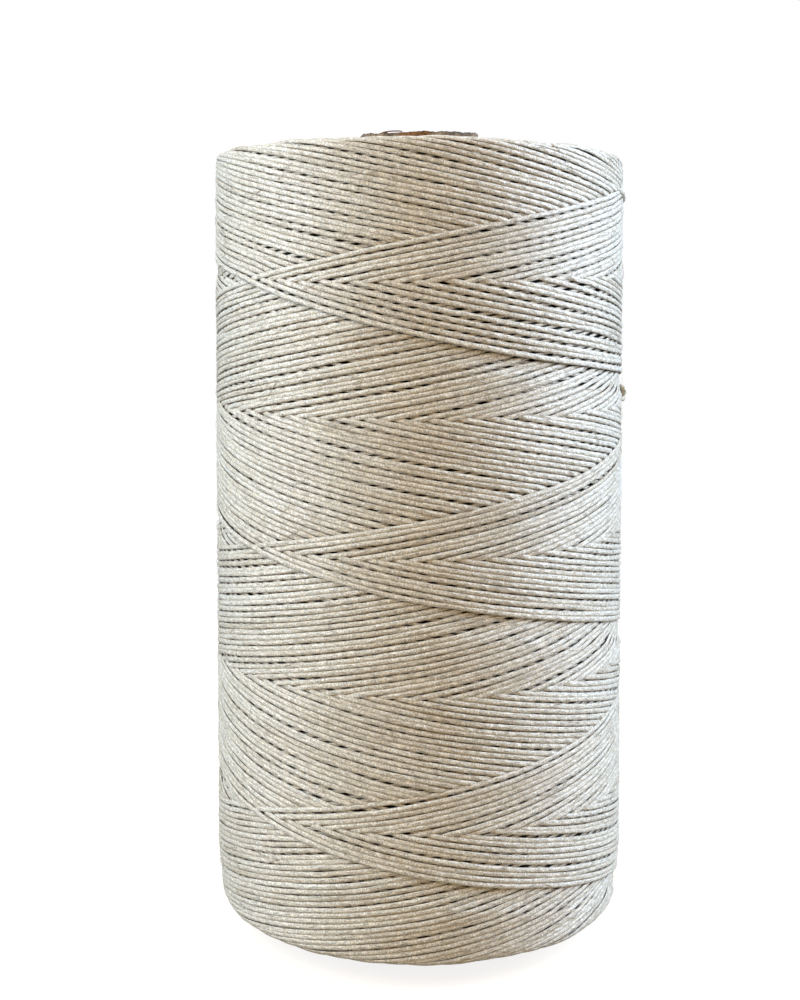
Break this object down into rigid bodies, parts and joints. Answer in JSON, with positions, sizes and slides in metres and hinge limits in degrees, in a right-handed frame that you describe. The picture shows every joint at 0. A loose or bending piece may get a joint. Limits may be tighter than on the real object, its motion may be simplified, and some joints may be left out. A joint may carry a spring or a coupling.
{
  "type": "waxed thread spool",
  "caption": "Straight-sided package of natural waxed sewing thread, cross-wound on a brown paper tube that stands out a little at both ends.",
  "frame": {"origin": "centre of the tube's bottom end, on the plane that the spool stands on", "axes": "+Z along the tube's axis towards the end that is up, -Y towards the front, where the thread's crossings open to the right on the left-hand side"},
  "size_m": [0.0763, 0.075, 0.1434],
  "materials": {
    "waxed_thread": "satin",
    "core_board": "matte",
    "liner_paper": "matte",
    "surface_paper": "matte"
  },
  "bodies": {
    "root": {"core_liner_ply": "liner_paper", "core_body_ply_1": "core_board", "core_body_ply_2": "core_board", "core_body_ply_3": "core_board", "core_surface_ply": "surface_paper", "thread_winding_body": "waxed_thread", "thread_outer_layer": "waxed_thread", "thread_slack_strand": "waxed_thread", "thread_finishing_knot": "waxed_thread"}
  },
  "joints": []
}
